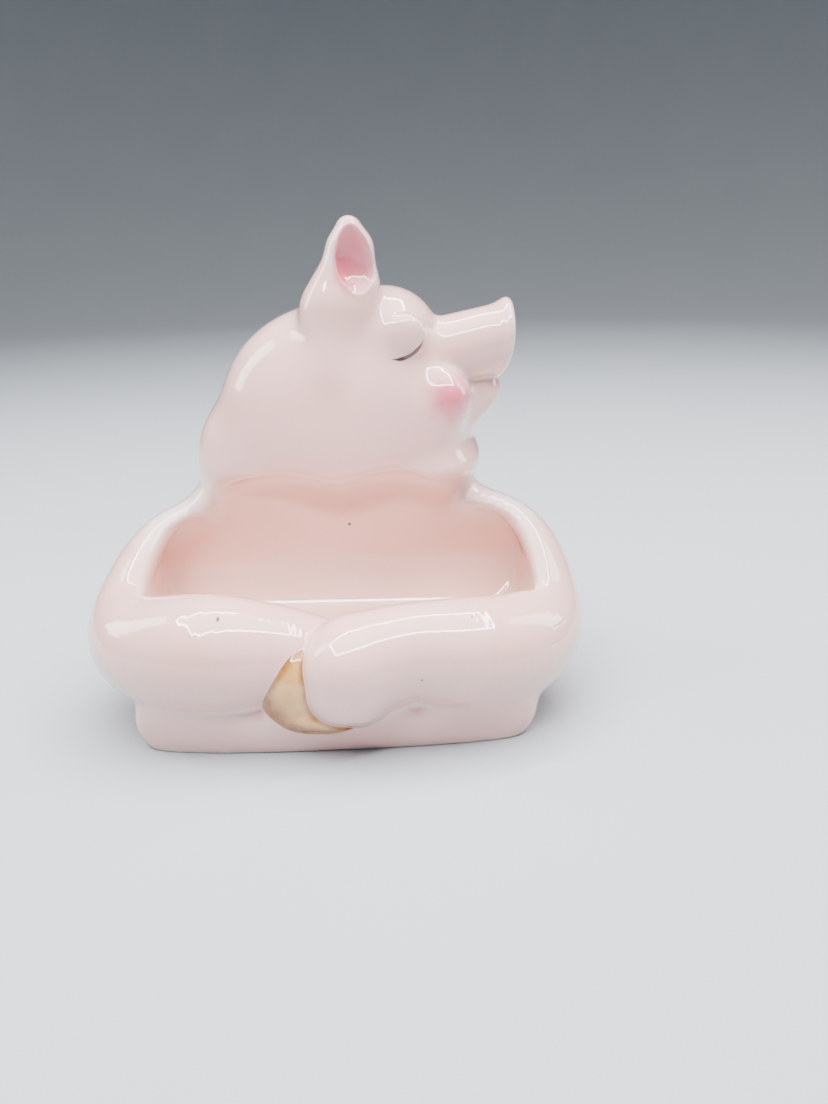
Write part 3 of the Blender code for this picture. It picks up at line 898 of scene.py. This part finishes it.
def specks(n, colour):
    """Iron specks in the glaze: a few larger ones and a thin scatter of pinpricks."""
    for x, y, z, size in SPECKS:
        spot = n.ramp(n.away(here(x, y, z), SPECK_STRETCH), size, size * 0.4)
        colour = n.mix(spot, colour, SPECK)
    dots = n.add("ShaderNodeTexVoronoi", feature="F1")
    n.link(n.where, dots.inputs["Vector"])
    dots.inputs["Scale"].default_value = MM_PER_METRE / PINPRICK_SPACING
    small = n.math("LESS_THAN", dots.outputs["Distance"], PINPRICK_RADIUS)
    return n.mix(n.math("MULTIPLY", small, COVER["pinprick"]), colour, SPECK)


def lash_line(n, colour):
    """A thin brush stroke under each closed lid, tapered to both ends."""
    split = n.add("ShaderNodeSeparateXYZ")
    n.link(n.where, split.inputs[0])
    x0, _, z0 = here(LASH_CENTRE[0], 0, LASH_CENTRE[1])
    dx = n.math("MULTIPLY", n.math("SUBTRACT", split.outputs["X"], x0), MM_PER_METRE)
    dz = n.math("MULTIPLY", n.math("SUBTRACT", split.outputs["Z"], z0), MM_PER_METRE)
    length = n.math("SQRT", n.math("ADD", n.math("MULTIPLY", dx, dx), n.math("MULTIPLY", dz, dz)))
    off = n.math("ABSOLUTE", n.math("SUBTRACT", length, LASH_RADIUS))
    angle = n.math("ARCTAN2", dz, dx)
    along = n.math("ABSOLUTE", n.math("SUBTRACT", angle, LASH_MIDDLE))
    width = n.ramp(along, LASH_REACH, LASH_TAPER, LASH_THIN, LASH_HALF_WIDTH)
    ink = n.ramp(n.math("SUBTRACT", off, width), LASH_SOFT, -LASH_SOFT)
    on = n.math("MULTIPLY", ink, n.ramp(along, LASH_REACH + 0.05, LASH_REACH - 0.08))
    return n.mix(n.math("MULTIPLY", on, COVER["lash"]), colour, LASH)


def pink_glaze():
    n = Nodes("pink_glaze_look")
    colour = specks(n, lash_line(n, ear_paint(n, airbrush(n, glaze_colour(n)))))
    glaze_surface(n, colour)
    return n.material


def foot_glaze():
    """The same glaze, wiped off the underside that stands on the table."""
    n = Nodes("foot_glaze_look")
    split = n.add("ShaderNodeSeparateXYZ")
    n.link(n.where, split.inputs[0])
    wander = n.ramp(n.noise(4.0, 2.0, 0.7), 0.3, 0.7, -WIPED_WANDER, WIPED_WANDER)
    bare = n.ramp(n.math("ADD", split.outputs["Z"], wander), *WIPED)
    clay = n.mix(n.ramp(n.noise(0.7, 3.0, 0.9), 0.3, 0.7), BARE_CLAY, BARE_CLAY_DARK)
    glaze_surface(n, n.mix(bare, glaze_colour(n), clay))
    rough = n.math("MAXIMUM", n.math("MULTIPLY", bare, BARE_ROUGHNESS), FOOT_ROUGHNESS)
    n.link(rough, n.shader.inputs["Roughness"])
    n.link(n.math("SUBTRACT", 1.0, bare), n.shader.inputs["Coat Weight"])
    return n.material


def tan_glaze():
    """The painted hoof: streaky tan, with brown gathered along its edge."""
    n = Nodes("tan_glaze_look")
    colour = n.mix(n.ramp(n.noise(5.0, 3.0, 0.5), 0.3, 0.7), TAN, TAN_PALE)
    uneven = n.ramp(n.noise(3.0, 2.0, 0.8), 0.25, 0.6, 0.55, 1.0)
    rim = n.math("MULTIPLY", n.mark("hoof_rim"), uneven)
    glaze_surface(n, n.mix(n.math("MULTIPLY", rim, COVER["hoof_rim"]), colour, TAN_BROWN))
    return n.material


def floor_cloth():
    n = Nodes("floor_look")
    n.link(n.mix(n.noise(120.0, 2.0), CLOTH, CLOTH_PALE), n.shader.inputs["Base Color"])
    n.shader.inputs["Roughness"].default_value = 0.85
    return n.material


# ---------------------------------------------------------------- the pig

def build_pig():
    shape = [int(math.ceil(span / GRID)) + 1 for span in GRID_SPAN]
    points, quads = surface_net(sample(GRID_LOW, shape), GRID_LOW)
    points = relax(points, quads)
    tris = np.concatenate((quads[:, [0, 1, 2]], quads[:, [0, 2, 3]]))
    points, pieces = split_skin(points, tris)
    _, gradient = slope(points)
    normals = gradient / np.linalg.norm(gradient, axis=1)[:, None]
    marks = surface_marks(points, normals, fields(points))
    pink, foot, tan = pink_glaze(), foot_glaze(), tan_glaze()
    shades = {"base_plinth": (foot, "pink_glaze"), "hoof_left": (tan, "tan_glaze")}
    for name, mine in pieces.items():
        shade, slot = shades.get(name, (pink, "pink_glaze"))
        make_piece(name, mine, points, normals, marks, shade)


# ---------------------------------------------------------------- studio

def area_light(name, place, aim, size, power, spread=180.0, mirrored_in_glaze=True):
    data = bpy.data.lights.new(name, "AREA")
    data.shape = "RECTANGLE"
    data.size, data.size_y = size
    data.energy = power
    data.spread = math.radians(spread)
    obj = bpy.data.objects.new(name, data)
    bpy.context.scene.collection.objects.link(obj)
    way = np.array(place) - np.array(aim)
    obj.matrix_world = look_along(place, -way / np.linalg.norm(way))
    obj.visible_glossy = mirrored_in_glaze


def look_along(place, forward, roll=0.0):
    """A matrix at a place, looking along forward, turned about it by so many degrees."""
    forward = np.array(forward, float)
    right = np.cross(forward, (0.0, 0.0, 1.0))
    right = right / np.linalg.norm(right)
    up = np.cross(right, forward)
    c, s = math.cos(math.radians(roll)), math.sin(math.radians(roll))
    turned_right, turned_up = right * c + up * s, -right * s + up * c
    matrix = Matrix.Identity(4)
    for row in range(3):
        matrix[row][0], matrix[row][1] = turned_right[row], turned_up[row]
        matrix[row][2], matrix[row][3] = -forward[row], place[row]
    return matrix


COVE_FLAT = 1.1         # metres from the pig out to where the paper starts to curve up
COVE_CURVE = 0.9
COVE_TOP = 3.2
COVE_SIDES = 72
COVE_BEND = 5           # degrees between two rings of the curve
COVE_INNER = (0.3, 0.7)  # radii of the two rings within the flat

SKY = (0.88, 0.92, 0.96, 1.0)
SKY_STRENGTH = 0.09
BOX_AIM = (0.0, 0.0, 0.08)
SIDE_AIM = (0.0, 0.0, 0.06)
POCKET_AIM = (0.0, 0.01, 0.042)


def cove():
    """One round sheet, flat under the pig and curving up all round it without an edge."""
    outline = [(radius, 0.0) for radius in COVE_INNER]
    for bend in range(0, 91, COVE_BEND):
        a = math.radians(bend)
        outline.append((COVE_FLAT + COVE_CURVE * math.sin(a), COVE_CURVE * (1 - math.cos(a))))
    outline.append((COVE_FLAT + COVE_CURVE, COVE_TOP))
    turns = [2 * math.pi * k / COVE_SIDES for k in range(COVE_SIDES)]
    verts = [(r * math.cos(t), r * math.sin(t), z) for r, z in outline for t in turns]
    faces = [tuple(range(COVE_SIDES))]
    for ring in range(len(outline) - 1):
        a, b = ring * COVE_SIDES, (ring + 1) * COVE_SIDES
        faces += [(a + k, b + k, b + (k + 1) % COVE_SIDES, a + (k + 1) % COVE_SIDES)
                  for k in range(COVE_SIDES)]
    mesh = bpy.data.meshes.new("studio_floor")
    mesh.from_pydata(verts, [], faces)
    mesh.polygons.foreach_set("use_smooth", [True] * len(faces))
    obj = bpy.data.objects.new("studio_floor", mesh)
    bpy.context.scene.collection.objects.link(obj)
    return obj


def frame_light(name, place, aim, size, band, power):
    """Four strips round an open middle, like the tubes at the rim of a photographer's light box."""
    way = np.array(place, float) - np.array(aim, float)
    way = way / np.linalg.norm(way)
    across = np.cross((0.0, 0.0, 1.0), way)
    across = across / np.linalg.norm(across)
    up = np.cross(way, across)
    wide, tall = size
    total = 2 * (wide + tall)
    for k, (a, b, w, h) in enumerate(((0, 0.5, wide + band, band), (0, -0.5, wide + band, band),
                                      (0.5, 0, band, tall), (-0.5, 0, band, tall))):
        middle = np.array(place) + across * a * wide + up * b * tall
        area_light(name + "_%d" % k, middle, middle - way, (w, h), power * max(w, h) / total)


def studio():
    floor = cove()
    floor.data.materials.append(floor_cloth())
    world = bpy.data.worlds.new("studio_world")
    bpy.context.scene.world = world
    world.use_nodes = True
    background = world.node_tree.nodes["Background"]
    background.inputs["Color"].default_value = SKY
    background.inputs["Strength"].default_value = SKY_STRENGTH
    frame_light("box", (0.02, -0.05, 0.70), BOX_AIM, size=(0.80, 0.52), band=0.045, power=16.0)
    area_light("panel", (0.02, -0.05, 0.72), BOX_AIM, size=(0.78, 0.50), power=5.5)
    area_light("soft", (0.02, -0.05, 0.74), BOX_AIM, size=(0.78, 0.50), power=8.0,
               mirrored_in_glaze=False)
    area_light("pocket_spot", (0.0, -0.30, 0.30), POCKET_AIM, size=(0.05, 0.05), power=0.013,
               spread=14.0, mirrored_in_glaze=False)
    area_light("fill", (0.05, -0.85, 0.30), SIDE_AIM, size=(0.5, 0.3), power=0.16)
    area_light("left", (-0.60, 0.12, 0.42), SIDE_AIM, size=(0.20, 0.5), power=2.6)
    area_light("right", (0.62, 0.10, 0.42), SIDE_AIM, size=(0.20, 0.5), power=2.2)


# ---------------------------------------------------------------- camera

CAMERA_PLACE = (13.5, -245.0, 133.5)
CAMERA_YAW = 2.2        # degrees to the right of +Y
CAMERA_PITCH = 20.1     # degrees below level
CAMERA_ROLL = -1.3
FOCAL = 29.35           # millimetres, on a 36 mm sensor along the frame's longer side


def camera():
    yaw, pitch = math.radians(CAMERA_YAW), math.radians(CAMERA_PITCH)
    forward = (math.sin(yaw) * math.cos(pitch), math.cos(yaw) * math.cos(pitch), -math.sin(pitch))
    data = bpy.data.cameras.new("camera")
    data.sensor_width = 36.0
    data.lens = FOCAL
    data.clip_start = 0.01
    obj = bpy.data.objects.new("camera", data)
    bpy.context.scene.collection.objects.link(obj)
    obj.matrix_world = look_along(here(*CAMERA_PLACE), forward, CAMERA_ROLL)
    bpy.context.scene.camera = obj


camera()
studio()
build_pig()
